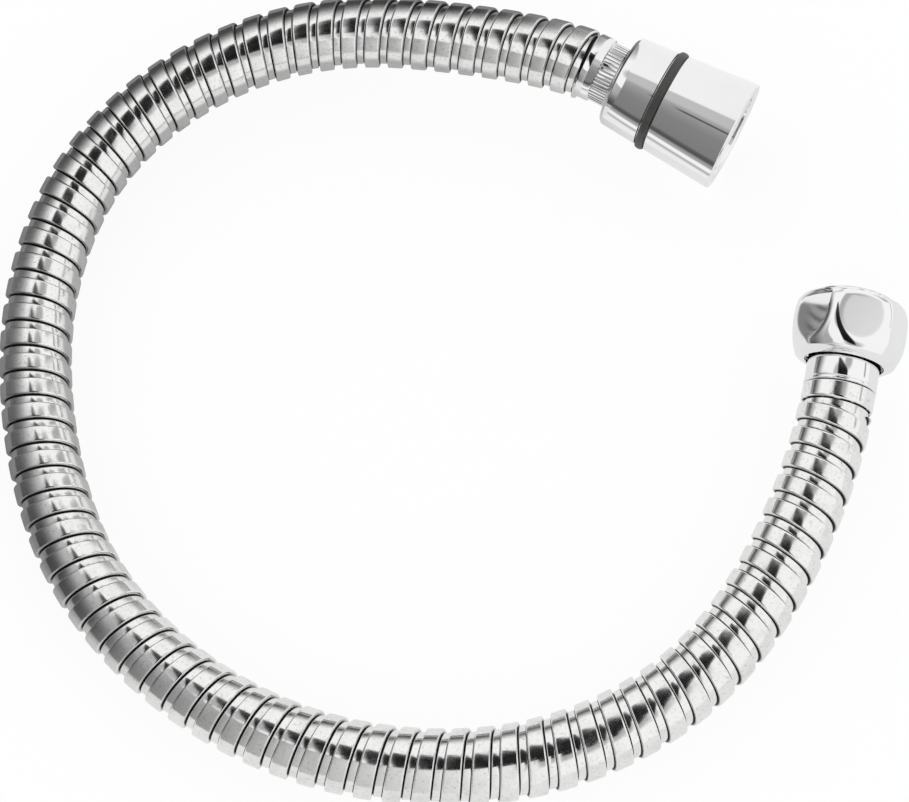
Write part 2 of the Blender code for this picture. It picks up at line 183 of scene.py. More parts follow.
class ShaderTree:
    """The nodes of one material or of the world."""

    def __init__(self, owner):
        owner.use_nodes = True
        self.nodes = owner.node_tree.nodes
        self.links = owner.node_tree.links
        self.nodes.clear()

    def node(self, kind, settings=None, sockets=None, output=0):
        made = self.nodes.new(kind)
        made.location = (200 * (len(self.nodes) % 8), -220 * (len(self.nodes) // 8))
        for key, setting in (settings or {}).items():
            if key == "stops":
                ramp = made.color_ramp.elements
                for place, shade in setting[2:]:
                    ramp.new(place)
                for stop, (place, shade) in zip(ramp, setting):
                    stop.position = place
                    stop.color = (shade, shade, shade, 1.0)
            else:
                setattr(made, key, setting)
        for key, given in (sockets or {}).items():
            if isinstance(given, Value):
                self.links.new(given.socket, made.inputs[key])
            else:
                made.inputs[key].default_value = given
        return Value(self, made.outputs[output]) if made.outputs else made

    def sum(self, operation, *terms):
        return self.node("ShaderNodeMath", {"operation": operation}, dict(enumerate(terms)))

    def smooth(self, given, low, high):
        """0 below low and 1 above high, with a soft step between. High may be the lower of the two."""
        sockets = {"Value": given, "From Min": low, "From Max": high}
        return self.node("ShaderNodeMapRange", {"interpolation_type": "SMOOTHSTEP"}, sockets)

    def blend(self, first, second, share):
        """Colour between two others, by the sockets of the Mix node that are for colours."""
        sockets = {0: share, 6: first, 7: second}
        return self.node("ShaderNodeMix", {"data_type": "RGBA"}, sockets, output=2)

    def noise(self, place, scale, detail=2.0, roughness=0.5):
        sockets = {"Vector": place, "Scale": scale, "Detail": detail, "Roughness": roughness}
        return self.node("ShaderNodeTexNoise", None, sockets)

    def split(self, vector):
        """The three numbers of a vector."""
        first = self.node("ShaderNodeSeparateXYZ", None, {0: vector})
        return [Value(self, socket) for socket in first.socket.node.outputs]

    def coat(self, shade, rough, height, strength, distance, metallic=0.0):
        """Finish a material with one surface, whose bumps follow a height."""
        sockets = {"Strength": strength, "Distance": distance, "Height": height}
        bump = self.node("ShaderNodeBump", None, sockets)
        sockets = {"Base Color": shade, "Metallic": metallic, "Roughness": rough, "Normal": bump}
        shader = self.node("ShaderNodeBsdfPrincipled", None, sockets)
        self.node("ShaderNodeOutputMaterial", None, {"Surface": shader})

    def glow(self, shade, strength):
        """Finish a material that only shines."""
        shader = self.node("ShaderNodeEmission", None, {"Color": shade, "Strength": strength})
        self.node("ShaderNodeOutputMaterial", None, {"Surface": shader})


def grey(level):
    return (level, level, level, 1.0)


def new_material(name):
    old = bpy.data.materials.get(name)
    if old:
        old.name = name + "_plain"
    return bpy.data.materials.new(name)


def placed_coordinates(tree, axis=None):
    """Object coordinates, seen from a fitting's own axis where one is given."""
    place = tree.node("ShaderNodeTexCoord", output="Object")
    if axis is None:
        return place
    location, rotation, _ = axis.decompose()
    sockets = {"Vector": place, "Location": location, "Rotation": rotation.to_euler()}
    return tree.node("ShaderNodeMapping", {"vector_type": "TEXTURE"}, sockets)


def metal(name, colour, roughness, axis, marks=0.4):
    """Polished metal with faint smears and hairline polishing marks, which run round the fitting's axis."""
    material = new_material(name)
    tree = ShaderTree(material)
    place = placed_coordinates(tree, axis)
    smear = tree.smooth(tree.noise(place, 90.0, 3.0, 0.6), 0.45, 0.75)
    rings = tree.node("ShaderNodeCombineXYZ", None, {2: tree.split(place)[2]})
    hairlines = tree.noise(rings, 9000.0, 2.0, 0.7)
    pits = tree.noise(place, 2600.0, 2.0, 0.5)
    shade = tree.blend(colour, grey(0.30), smear * 0.05)
    rough = roughness + 0.05 * smear + 0.02 * hairlines
    tree.coat(shade, rough, hairlines + pits, 0.06 * marks, 0.00002, metallic=1.0)
    return material


def strip_metal():
    """The wound strip: polished, with rolling marks along it, and painted shade, near black, in the gaps
    where its turns lap.
    """
    material = new_material("polished_strip")
    tree = ShaderTree(material)
    slot = tree.node("ShaderNodeAttribute", {"attribute_name": "slot"}, output="Fac")
    place = tree.node("ShaderNodeUVMap", {"uv_map": "strip"})
    sockets = {0: place, 1: (60.0, 40.0, 1.0)}
    stretched = tree.node("ShaderNodeVectorMath", {"operation": "MULTIPLY"}, sockets)
    rolling = tree.noise(stretched, 1.0, 3.0, 0.6)
    solid = placed_coordinates(tree)
    blotches = tree.noise(solid, 260.0, 3.0, 0.6)
    specks = tree.smooth(tree.noise(solid, 1500.0, 3.0, 0.7), 0.52, 0.78)
    smear = tree.smooth(blotches, 0.42, 0.8)
    clean = tree.blend((0.89, 0.885, 0.88, 1.0), grey(0.50), smear * 0.30)
    worn = tree.blend(clean, grey(0.32), specks * 0.55)
    # Painted shade: where the slot attribute is set, in the gaps between the laps, the colour goes to near
    # black
    shade = tree.blend(worn, grey(0.01), slot)
    rough = 0.085 + 0.09 * smear + 0.05 * rolling + 0.08 * specks + 0.4 * slot
    tree.coat(shade, rough, rolling + 0.7 * blotches, 0.28, 0.00004, metallic=1.0)
    return material


def rubber():
    """Moulded rubber, dark grey, with a dry bloom and a fine grain."""
    material = new_material("black_rubber")
    tree = ShaderTree(material)
    place = placed_coordinates(tree)
    bloom = tree.noise(place, 420.0, 4.0, 0.6)
    grain = tree.noise(place, 9000.0, 2.0, 0.6)
    shade = tree.blend((0.030, 0.029, 0.028, 1.0), (0.075, 0.073, 0.070, 1.0), bloom)
    tree.coat(shade, 0.42 + 0.2 * bloom, grain, 0.35, 0.00004)
    return material


def clear_plastic():
    """Milky plastic of the tube inside, with faint flow lines."""
    material = new_material("clear_plastic")
    tree = ShaderTree(material)
    place = placed_coordinates(tree)
    cloud = tree.noise(place, 160.0, 3.0, 0.5)
    shade = tree.blend((0.80, 0.81, 0.78, 1.0), (0.70, 0.72, 0.70, 1.0), cloud)
    tree.coat(shade, 0.30 + 0.15 * cloud, tree.noise(place, 2400.0), 0.2, 0.00004)
    return material


def pick_only(piece):
    bpy.ops.object.select_all(action="DESELECT")
    piece.select_set(True)
    bpy.context.view_layer.objects.active = piece


def edit(piece):
    pick_only(piece)
    bpy.ops.object.mode_set(mode="EDIT")
    bpy.ops.mesh.select_all(action="SELECT")


def leave_edit():
    bpy.ops.object.mode_set(mode="OBJECT")


def close_up(piece):
    """Merge what lies in one place and turn every face outwards."""
    edit(piece)
    bpy.ops.mesh.remove_doubles(threshold=SAME_PLACE)
    bpy.ops.mesh.select_all(action="SELECT")
    bpy.ops.mesh.normals_make_consistent(inside=False)
    leave_edit()


def apply_modifier(piece, kind, **settings):
    pick_only(piece)
    modifier = piece.modifiers.new(kind.title(), kind)
    for key, setting in settings.items():
        setattr(modifier, key, setting)
    bpy.ops.object.modifier_apply(modifier=modifier.name)


def turned(name, outline, sides=128):
    """Turn a piece on its +Z: a circle, drawn out and resized from corner to corner of its outline."""
    radius, height = outline[0]
    bpy.ops.mesh.primitive_circle_add(vertices=sides, radius=radius)
    piece = bpy.context.object
    piece.name = name
    edit(piece)
    bpy.ops.transform.translate(value=(0.0, 0.0, height))
    for corner_radius, corner_height in [*outline[1:], outline[0]]:
        rise = {"value": (0.0, 0.0, corner_height - height)}
        bpy.ops.mesh.extrude_region_move(TRANSFORM_OT_translate=rise)
        share = corner_radius / radius
        bpy.ops.transform.resize(value=(share, share, 1.0), center_override=(0.0, 0.0, 0.0))
        radius, height = corner_radius, corner_height
    leave_edit()
    close_up(piece)
    return piece


def traced(name, points, closed=False):
    """A chain of edges through the points, drawn from one corner to the next."""
    bpy.ops.mesh.primitive_plane_add(size=0.001)
    piece = bpy.context.object
    piece.name = name
    edit(piece)
    bpy.ops.mesh.merge(type="CENTER")
    bpy.ops.transform.translate(value=points[0])
    for here, there in zip(points, points[1:]):
        step = {"value": Vector(there) - Vector(here)}
        bpy.ops.mesh.extrude_vertices_move(TRANSFORM_OT_translate=step)
    leave_edit()
    if closed:
        used = [i for edge in piece.data.edges for i in edge.vertices]
        for vertex in piece.data.vertices:
            vertex.select = used.count(vertex.index) == 1
        bpy.ops.object.mode_set(mode="EDIT")
        bpy.ops.mesh.edge_face_add()
        leave_edit()
    return piece


def join(piece, *others):
    pick_only(piece)
    for other in others:
        other.select_set(True)
    bpy.ops.object.join()
    return piece


def soften(piece, width, angle=35.0, segments=3):
    """Round every edge sharper than the angle, then shade the rest smooth."""
    apply_modifier(
        piece,
        "BEVEL",
        width=width,
        segments=segments,
        limit_method="ANGLE",
        angle_limit=math.radians(angle),
    )
    smooth(piece)


def smooth(piece, angle=40.0):
    pick_only(piece)
    bpy.ops.object.shade_smooth_by_angle(angle=math.radians(angle))


def direction(bearing, slope):
    """Unit vector at a bearing from +X and a slope up from level, both in degrees."""
    level = math.cos(math.radians(slope))
    east = level * math.cos(math.radians(bearing))
    north = level * math.sin(math.radians(bearing))
    return Vector((east, north, math.sin(math.radians(slope))))


def fitting_axis(mouth, along, turn):
    """Place of a fitting: its Z along the nut's axis, its X turned from the top."""
    side = along.cross(Vector((0.0, 0.0, 1.0))).normalized()
    top = side.cross(along).normalized()
    turns = Matrix((top, along.cross(top), along)).transposed().to_4x4()
    spin = Matrix.Rotation(math.radians(turn), 4, "Z")
    return Matrix.Translation(Vector(mouth)) @ turns @ spin


HEX_AXIS = fitting_axis(ROUTE[0], direction(HEX_BEARING, HEX_SLOPE), HEX_TURN)
CONE_AXIS = fitting_axis(ROUTE[-1], direction(CONE_BEARING, CONE_SLOPE), 0.0)


def hand_over(piece, material, body, nodes, axis=None):
    """Give a finished piece its place, finish, body and the CAD nodes that it stands for."""
    if axis is not None:
        piece.matrix_world = axis
        pick_only(piece)
        bpy.ops.object.transform_apply(location=True, rotation=True, scale=True)
    piece.data.name = piece.name
    piece.data.materials.clear()
    piece.data.materials.append(material)
    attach(piece, body)
    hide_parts(*nodes)


def thread(name, radius, depth, pitch, start, end, sides=72):
    """Inside thread as one wound ridge. Its foot lies in the socket's wall."""
    foot = radius + 0.15 * pitch
    crest = radius - depth
    points = [
        (foot, 0.0, start),
        (crest, 0.0, start + 0.42 * pitch),
        (crest, 0.0, start + 0.54 * pitch),
        (foot, 0.0, start + 0.96 * pitch),
    ]
    ridge = traced(name, points, closed=True)
    turns = int((end - start) / pitch - 1)
    apply_modifier(
        ridge,
        "SCREW",
        axis="Z",
        screw_offset=pitch,
        iterations=turns,
        steps=sides,
        render_steps=sides,
    )
    edit(ridge)
    bpy.ops.mesh.fill_holes(sides=8)
    leave_edit()
    close_up(ridge)
    return ridge


class HoseSizes(bpy.types.PropertyGroup):
    """Sizes of the wound strip"""

    radius: bpy.props.FloatProperty(
        name="Radius",
        description="Of the strip's raised bands",
        default=0.0075,
        unit="LENGTH",
    )
    groove_depth: bpy.props.FloatProperty(
        name="Groove depth",
        description="How far the sunk bands lie below the raised ones",
        default=0.0009,
        unit="LENGTH",
    )
    pitch: bpy.props.FloatProperty(
        name="Pitch",
        description="Length of hose that one turn of the strip takes up",
        default=0.0055,
        unit="LENGTH",
    )
    bore_radius: bpy.props.FloatProperty(
        name="Bore radius",
        description="Of the strip's inside",
        default=0.0055,
        unit="LENGTH",
    )
    plain_end: bpy.props.FloatProperty(
        name="Plain end",
        description="Length of the strip next to a ferrule that is rolled down plain",
        default=0.0042,
        unit="LENGTH",
    )
    recess: bpy.props.FloatProperty(
        name="Recess",
        description="Length of the sunk band between the plain end and the first turn",
        default=0.0012,
        unit="LENGTH",
    )
    cone_mouth: bpy.props.FloatProperty(
        name="Cone mouth",
        description="How far the conical end's ferrule reaches back over the strip",
        default=0.0047,
        unit="LENGTH",
    )


class FinishColours(bpy.types.PropertyGroup):
    """Colours of the finishes"""

    chrome: bpy.props.FloatVectorProperty(
        name="Chrome",
        description="Colour of the plated nuts and ferrules",
        default=(0.90, 0.90, 0.905, 1.0),
        size=4,
        subtype="COLOR",
    )
    brass: bpy.props.FloatVectorProperty(
        name="Brass",
        description="Colour of the barbed inserts",
        default=(0.78, 0.60, 0.30, 1.0),
        size=4,
        subtype="COLOR",
    )


def smooth_slopes(points, start, end):
    """Slopes at the route's points that let its bend run on smoothly from each span to the next."""
    spans = np.linalg.norm(np.diff(points, axis=0), axis=1)
    count = len(points)
    system = np.eye(count)
    wanted = np.zeros((count, 3))
    wanted[0] = start
    wanted[-1] = end
    for i in range(1, count - 1):
        before, after = spans[i - 1], spans[i]
        system[i, i - 1 : i + 2] = after, 2 * (before + after), before
        rise_before = (points[i] - points[i - 1]) / before
        rise_after = (points[i + 1] - points[i]) / after
        wanted[i] = 3 * (after * rise_before + before * rise_after)
    return np.linalg.solve(system, wanted), spans


def hose_route():
    """The route as a curve to bend the strip along, and as close points to measure it by."""
    points = np.array(ROUTE)
    start = -np.array(direction(HEX_BEARING, HEX_SLOPE))
    end = np.array(direction(CONE_BEARING, CONE_SLOPE))
    slopes, spans = smooth_slopes(points, start, end)
    curve = bpy.data.curves.new("hose_route", "CURVE")
    curve.dimensions = "3D"
    curve.twist_mode = "Z_UP"
    curve.resolution_u = 24
    curve.use_path = True
    spline = curve.splines.new("BEZIER")
    spline.bezier_points.add(len(points) - 1)
    for i, knot in enumerate(spline.bezier_points):
        knot.co = points[i]
        knot.handle_left_type = knot.handle_right_type = "FREE"
        knot.handle_left = points[i] - slopes[i] * spans[max(i - 1, 0)] / 3
        knot.handle_right = points[i] + slopes[i] * spans[min(i, len(spans) - 1)] / 3
    route = bpy.data.objects.new("hose_route", curve)
    bpy.context.scene.collection.objects.link(route)
    knots = spline.bezier_points
    path = []
    for one, two in zip(knots, knots[1:]):
        path += interpolate_bezier(one.co, one.handle_right, two.handle_left, two.co, 25)[:-1]
    path.append(knots[-1].co.copy())
    return route, path


def path_length(path):
    return sum((two - one).length for one, two in zip(path, path[1:]))


def mark_gap_shade(piece, sizes):
    """Mark the gaps at each turn's lip and foot, where the strip's material paints shade near black."""
    points = np.zeros(len(piece.data.vertices) * 3)
    piece.data.vertices.foreach_get("co", points)
    x, y, z = points.reshape(-1, 3).T
    share = (x / sizes.pitch + np.arctan2(-y, z) / (2 * math.pi)) % 1.0
    sunk = sizes.radius - sizes.groove_depth
    rise = (np.hypot(y, z) - sunk) / sizes.groove_depth
    at_lip = (share > LIP_GAP[0]) | (share < LIP_GAP[1])
    at_foot = (share > FOOT_GAP[0]) & (share < FOOT_GAP[1])
    lip = at_lip * np.clip((LIP_SHADE_TOP - rise) / SHADE_FADES, 0.0, 1.0)
    foot = at_foot * np.clip((FOOT_SHADE_TOP - rise) / SHADE_FADES, 0.0, 1.0)
    # The slot attribute carries painted shade: 1 deep in each gap, fading out towards the groove's top
    layer = piece.data.attributes.new("slot", "FLOAT", "POINT")
    layer.data.foreach_set("value", np.maximum(lip, foot).astype(np.float32))


def space_turns(piece, sizes):
    """Move each turn of the evenly wound strip to its own place along the hose."""
    points = np.zeros(len(piece.data.vertices) * 3)
    piece.data.vertices.foreach_get("co", points)
    points = points.reshape(-1, 3)
    laps = np.arange(-1, len(LAP_PLACES) + 1) * LAP_STEP
    step = LAP_STEP * sizes.pitch
    places = [LAP_PLACES[0] - step, *LAP_PLACES, LAP_PLACES[-1] + step]
    points[:, 0] = np.interp(points[:, 0] / sizes.pitch + LAP_LEAD, laps, places)
    piece.data.vertices.foreach_set("co", points.ravel())
    piece.data.update()


def wound_wall(sizes, start, end):
    """Outside of the strip in a straight line along X, wound left-handed and cut square at both ends."""
    sunk = sizes.radius - sizes.groove_depth
    points = [(share * sizes.pitch, 0.0, sunk + rise * sizes.groove_depth) for share, rise in STRIP_OUTLINE]
    points.append((sizes.pitch, 0.0, points[0][2]))
    strip = traced("wound_strip", points)
    strip.data.uv_layers.new(name="strip")
    turns = math.ceil((end - start) / sizes.pitch) + 3
    apply_modifier(
        strip,
        "SCREW",
        axis="X",
        angle=-2 * math.pi,
        screw_offset=sizes.pitch,
        iterations=turns,
        steps=48,
        render_steps=48,
    )
    edit(strip)
    bpy.ops.transform.translate(value=((math.floor(start / sizes.pitch) - 2) * sizes.pitch, 0.0, 0.0))
    bpy.ops.mesh.remove_doubles(threshold=SAME_PLACE)
    leave_edit()
    mark_gap_shade(strip, sizes)
    space_turns(strip, sizes)
    edit(strip)
    for place, facing in ((start, -1.0), (end, 1.0)):
        bpy.ops.mesh.select_all(action="SELECT")
        bpy.ops.mesh.bisect(
            plane_co=(place, 0.0, 0.0),
            plane_no=(facing, 0.0, 0.0),
            clear_outer=True,
            threshold=SAME_PLACE,
        )
    leave_edit()
    return strip


def bore_wall(sizes, start, end, steps=160):
    """Inside of the strip as a plain tube along X, in short lengths so that it can bend."""
    step = (end - start) / steps
    bpy.ops.mesh.primitive_cylinder_add(
        vertices=48,
        radius=sizes.bore_radius,
        depth=step,
        end_fill_type="NOTHING",
    )
    bore = bpy.context.object
    lay_along_x(bore, 1, start + step / 2)
    apply_modifier(
        bore,
        "ARRAY",
        count=steps,
        use_relative_offset=False,
        use_constant_offset=True,
        constant_offset_displace=(step, 0.0, 0.0),
        use_merge_vertices=True,
        merge_threshold=SAME_PLACE,
    )
    return bore


def fill_ends(piece, places):
    """Close the ring between the strip's outside and its bore at each end."""
    for place in places:
        edit(piece)
        bpy.ops.mesh.select_all(action="DESELECT")
        bpy.ops.mesh.select_mode(type="EDGE")
        bpy.ops.mesh.select_non_manifold()
        leave_edit()
        for edge in piece.data.edges:
            ends = [piece.data.vertices[i].co.x for i in edge.vertices]
            edge.select = edge.select and all(abs(x - place) < ON_RIM for x in ends)
        bpy.ops.object.mode_set(mode="EDIT")
        bpy.ops.mesh.fill()
        bpy.ops.mesh.select_mode(type="VERT")
        leave_edit()


# Strip's ends: how far each is tucked into its ferrule and how clear it is of the ferrule's rim, and how far
# the rolled start overlaps the wound part
HEX_TUCKED = 0.0043
HEX_CLEAR = 0.0004
CONE_TUCKED = 0.005
CONE_CLEAR = 0.0002
ROLLED_OVERLAP = 0.0002


class HOSE_OT_strip(bpy.types.Operator):
    """Wind the strip, close it round its bore and bend it along the route"""

    bl_idname = "hose.strip"
    bl_label = "Wound strip"

    def execute(self, context):
        sizes = context.scene.hose_sizes
        route, path = hose_route()
        length = path_length(path)
        start = sizes.plain_end + sizes.recess
        end = length - sizes.cone_mouth - CONE_CLEAR
        strip = wound_wall(sizes, start, end)
        join(strip, bore_wall(sizes, start, end))
        fill_ends(strip, (start, end))
        close_up(strip)
        outer = start + ROLLED_OVERLAP
        first = rolled_end("rolled_start", sizes, -HEX_TUCKED, HEX_CLEAR, sizes.plain_end, outer)
        lay_along_x(first, -1, 0.0)
        mouth = sizes.cone_mouth + 0.0001
        last = rolled_end("rolled_finish", sizes, -CONE_TUCKED, mouth, mouth + 0.0002, mouth + 0.0006)
        lay_along_x(last, 1, length)
        join(strip, first, last)
        apply_modifier(strip, "CURVE", object=route, deform_axis="POS_X")
        bpy.data.objects.remove(route)
        smooth(strip, 50.0)
        hand_over(strip, strip_metal(), "hose", ["spiral_hose"])
        return {"FINISHED"}


def lay_along_x(piece, quarters, place):
    """Tip a piece over from Z to X by quarter turns, and move it to its place along X."""
    edit(piece)
    middle = (0.0, 0.0, 0.0)
    bpy.ops.transform.rotate(value=quarters * math.pi / 2, orient_axis="Y", center_override=middle)
    bpy.ops.transform.translate(value=(place, 0.0, 0.0))
    leave_edit()


def rolled_end(name, sizes, inner, mouth, band, outer):
    """Plain end of the strip, rolled down to go into a ferrule. It runs along its +Z from inner to outer."""
    tucked = sizes.bore_radius + 0.0005
    plain = sizes.radius - 0.0002
    sunk = sizes.radius - sizes.groove_depth
    slot = 0.00014
    outline = [
        (sizes.bore_radius, inner),
        (tucked, inner),
        (tucked, mouth),
        (sunk - 0.0002, mouth),
    ]
    if band > mouth + 0.001:
        outline += [
            (sunk - 0.0002, mouth + slot),
            (plain - 0.0001, mouth + slot),
            (plain, mouth + slot + 0.0001),
            (plain, mouth + slot + 0.0002),
            (plain, mouth + slot + 0.0004),
            (plain, band - 0.0007),
            (plain, band - 0.0005),
            (plain - 0.00006, band - 0.00025),
            (plain - 0.0002, band - 0.0001),
            (plain - 0.0004, band),
            (sunk - 0.0001, band + 0.00005),
            (sunk - 0.0001, band + 0.0002),
            (sunk, band + 0.00022),
            (sunk, band + 0.0004),
        ]
    outline += [(sunk, outer), (sizes.bore_radius, outer)]
    rolled = turned(name, outline, sides=96)
    heights = [vertex.co.z for vertex in rolled.data.vertices]
    radii = [vertex.co.xy.length for vertex in rolled.data.vertices]
    # Painted shade: the gap at the mouth and the gap behind the plain band are marked for the strip's
    # material to paint near black
    gap = [mouth - 0.00005 < z < mouth + 0.0002 or band - 0.00001 < z < band + 0.00021 for z in heights]
    layer = rolled.data.attributes.new("slot", "FLOAT", "POINT")
    layer.data.foreach_set("value", [float(dark and r < sunk + 0.0003) for dark, r in zip(gap, radii)])
    return rolled


class HOSE_OT_hexagonal_end(bpy.types.Operator):
    """Turn the ferrule, insert, washer and hexagonal nut"""

    bl_idname = "hose.hexagonal_end"
    bl_label = "Hexagonal nut's end"

    def execute(self, context):
        colours = context.scene.hose_colours
        chrome = metal("chrome", colours.chrome, 0.045, HEX_AXIS)
        brass = metal("brass", colours.brass, 0.20, HEX_AXIS, marks=1.6)
        ferrule = turned(
            "hex_ferrule",
            [
                (0.0063, -0.0003),
                (0.0071, -0.0003),
                (0.0074, -0.0001),
                (0.0074, 0.0003),
                (0.0072, 0.00045),
                (0.0072, 0.00055),
                (0.00732, 0.0007),
                (0.00732, 0.0068),
                (0.00365, 0.0068),
                (0.00365, 0.0056),
                (0.0055, 0.0056),
                (0.0055, 0.0046),
                (0.0063, 0.0046),
            ],
        )
        soften(ferrule, 0.00003, segments=2)
        hand_over(ferrule, chrome, "hose", ["hex_end_ferrule"], HEX_AXIS)
        insert = barbed_insert("hex_insert", 0.0053, 0.0052, 0.0071, 0.0066, 0.0090, 0.0102)
        hand_over(insert, brass, "hose", ["hex_end_insert"], HEX_AXIS)
        washer = flat_washer("hex_washer", 0.0036, 0.0066, 0.0105, 0.0018)
        hand_over(washer, rubber(), "hex_nut", ["hex_end_washer"], HEX_AXIS)
        nut = hexagonal_nut()
        hand_over(nut, chrome, "hex_nut", ["hex_nut"], HEX_AXIS)
        return {"FINISHED"}


def barbed_insert(name, tube_end, neck_radius, neck_start, flange_radius, flange_rear, front):
    """Barbed shank, neck and flange round one straight bore."""
    bore = 0.0025
    shank = 0.0031
    tip = tube_end - 0.009
    outline = [(bore, front), (bore, tip), (shank, tip)]
    for i in range(3):
        foot = tip + i * 0.0022
        outline += [(shank + 0.00025, foot + 0.0021), (shank, foot + 0.0022)]
    outline += [(shank, neck_start), (neck_radius, neck_start)]
    if neck_start < flange_rear:
        outline.append((neck_radius, flange_rear))
    outline += [(flange_radius, flange_rear), (flange_radius, front)]
    insert = turned(name, outline, sides=64)
    soften(insert, 0.00008)
    return insert


def flat_washer(name, hole, outside, rear, thickness):
    front = rear + thickness
    washer = turned(name, [(hole, rear), (outside, rear), (outside, front), (hole, front)], sides=96)
    soften(washer, 0.0002)
    return washer


# Hexagonal nut: rear face, length of its barrel and lip, radius of its barrel's outline seen from the side,
# widest radius and where that lies over the rear face, and how far its flats and its lip are from the axis
HEX_REAR = 0.005
HEX_LENGTH = 0.0127
HEX_LIP = 0.0014
HEX_CROWN = 0.0155
HEX_WIDEST = 0.01175
HEX_MIDDLE = 0.0079
HEX_FLAT = 0.0105
HEX_LIP_REACH = 0.0092


def hexagonal_nut():
    """Barrel with a lip in front, brought in to six soft flats, over a threaded socket."""
    rear, length = HEX_REAR, HEX_LENGTH
    face = rear + length
    front = face + HEX_LIP
    outline = [(0.0080, rear), (0.0083, rear - 0.0002), (0.0101, rear + 0.0009)]
    for i in range(25):
        height = 0.00125 + (length - 0.0018) * i / 25
        outline.append((barrel_radius(height), rear + height))
    outline += [
        (barrel_radius(length) - 0.0004, face),
        (0.0084, face),
        (0.0084, front - 0.0003),
        (0.0081, front),
        (0.0076, front),
        (0.0075, front - 0.0004),
        (0.0075, 0.0092),
        (0.0056, 0.0092),
        (0.0056, 0.0072),
        (0.0080, 0.0072),
    ]
    nut = turned("hexagonal_nut", outline, sides=192)
    mill_flats(nut, rear + 0.0011, face + 0.00005)
    soften(nut, 0.00012, angle=30.0, segments=2)
    ridge = thread("hex_thread", 0.0075, 0.00055, 0.001, 0.0094, front)
    smooth(ridge, 30.0)
    return join(nut, ridge)


def barrel_radius(height):
    """Of the hexagonal nut's barrel, at a height above its rear face."""
    return HEX_WIDEST - HEX_CROWN + math.sqrt(HEX_CROWN**2 - (height - HEX_MIDDLE) ** 2)


def mill_flats(nut, low, high, softness=0.00045):
    """Bring the barrel in to a hexagon's flats, with a soft run from each flat to the round corner."""
    for vertex in nut.data.vertices:
        x, y, z = vertex.co
        radius = math.hypot(x, y)
        if radius < HEX_LIP_REACH or not low < z < high:
            continue
        turn = math.atan2(y, x)
        off = (turn + math.pi / 6) % (math.pi / 3) - math.pi / 6
        flat = HEX_FLAT / math.cos(off)
        lean = min(max(0.5 + 0.5 * (flat - radius) / softness, 0.0), 1.0)
        wanted = flat + (radius - flat) * lean - softness * lean * (1.0 - lean)
        vertex.co.x *= wanted / radius
        vertex.co.y *= wanted / radius


class HOSE_OT_conical_end(bpy.types.Operator):
    """Turn the ferrule with its fluted neck, the insert, the washer, the conical nut and its ring"""

    bl_idname = "hose.conical_end"
    bl_label = "Conical nut's end"

    def execute(self, context):
        colours = context.scene.hose_colours
        chrome = metal("cone_chrome", colours.chrome, 0.045, CONE_AXIS)
        brass = metal("cone_brass", colours.brass, 0.20, CONE_AXIS, marks=1.6)
        ferrule = fluted_ferrule()
        hand_over(ferrule, chrome, "hose", ["cone_end_ferrule"], CONE_AXIS)
        insert = barbed_insert("cone_insert", 0.0131, 0.00895, 0.0152, 0.00895, 0.0152, 0.0167)
        hand_over(insert, brass, "hose", ["cone_end_insert"], CONE_AXIS)
        washer = flat_washer("cone_washer", 0.0045, 0.00895, 0.0170, 0.002)
        black = bpy.data.materials["black_rubber"]
        hand_over(washer, black, "cone_nut", ["cone_end_washer"], CONE_AXIS)
        nut = conical_nut()
        hand_over(nut, chrome, "cone_nut", ["cone_nut"], CONE_AXIS)
        ring = grip_ring()
        hand_over(ring, black, "cone_nut", ["cone_grip_ring"], CONE_AXIS)
        return {"FINISHED"}


# Flutes round the conical end's ferrule, and the share of its radius that their floors keep
FLUTES = 46
FLUTE_SHARE = 0.965


def fluted_ferrule():
    """Ferrule with a smooth band at its mouth and a narrower fluted band behind it."""
    outline = [
        (0.0063, -0.0047),
        (0.0067, -0.0047),
        (0.0070, -0.0044),
        (0.00705, -0.0042),
        (0.00705, -0.0016),
        (0.0069, -0.0013),
        (0.0066, -0.00115),
        (0.0066, 0.0022),
        (0.0067, 0.0024),
        (0.00685, 0.0026),
        (0.00685, 0.0149),
        (0.00365, 0.0149),
        (0.00365, 0.0134),
        (0.0055, 0.0134),
        (0.0055, 0.0053),
        (0.0063, 0.0053),
    ]
    sides = 4 * FLUTES
    ferrule = turned("cone_ferrule", outline, sides)
    for vertex in ferrule.data.vertices:
        radius = math.hypot(vertex.co.x, vertex.co.y)
        side = round(math.atan2(vertex.co.y, vertex.co.x) / (2 * math.pi) * sides)
        if -0.0012 < vertex.co.z < 0.0023 and radius > 0.0065 and side % 4 == 0:
            vertex.co.x *= FLUTE_SHARE
            vertex.co.y *= FLUTE_SHARE
    soften(ferrule, 0.00004, angle=50.0, segments=1)
    smooth(ferrule, 30.0)
    return ferrule


# Conical nut: rear face, length, its radius at both ends, and the ring's place over the rear face
CONE_REAR = 0.0029
CONE_LENGTH = 0.027
CONE_NARROW = 0.00985
CONE_WIDE = 0.012
RING_PLACE = 0.010


def cone_radius(height):
    """Of the conical nut, at a height above its rear face."""
    return CONE_NARROW + (CONE_WIDE - CONE_NARROW) * height / CONE_LENGTH


def conical_nut():
    """Smooth cone with a groove for its ring, a long plain bore behind and a threaded socket in front."""
    rear, length = CONE_REAR, CONE_LENGTH
    front = rear + length
    outline = [
        (0.0074, front - 0.015),
        (0.0074, rear + 0.0002),
        (0.0076, rear),
        (0.0091, rear),
        (cone_radius(0.0008) - 0.0001, rear + 0.0006),
        (cone_radius(0.0008), rear + 0.0008),
        (cone_radius(0.00885), rear + 0.00885),
        (0.0100, rear + 0.00885),
        (0.0100, rear + 0.01115),
        (cone_radius(0.01115), rear + 0.01115),
        (cone_radius(length - 0.00035), front - 0.00035),
        (0.01165, front),
        (0.0109, front),
        (0.01048, front - 0.0005),
        (0.01048, front - 0.015),
    ]
    nut = turned("conical_nut", outline, sides=192)
    soften(nut, 0.00012, angle=30.0, segments=3)
    ridge = thread("cone_thread", 0.01048, 0.00116, 0.001814, 0.0152, front)
    smooth(ridge, 30.0)
    return join(nut, ridge)


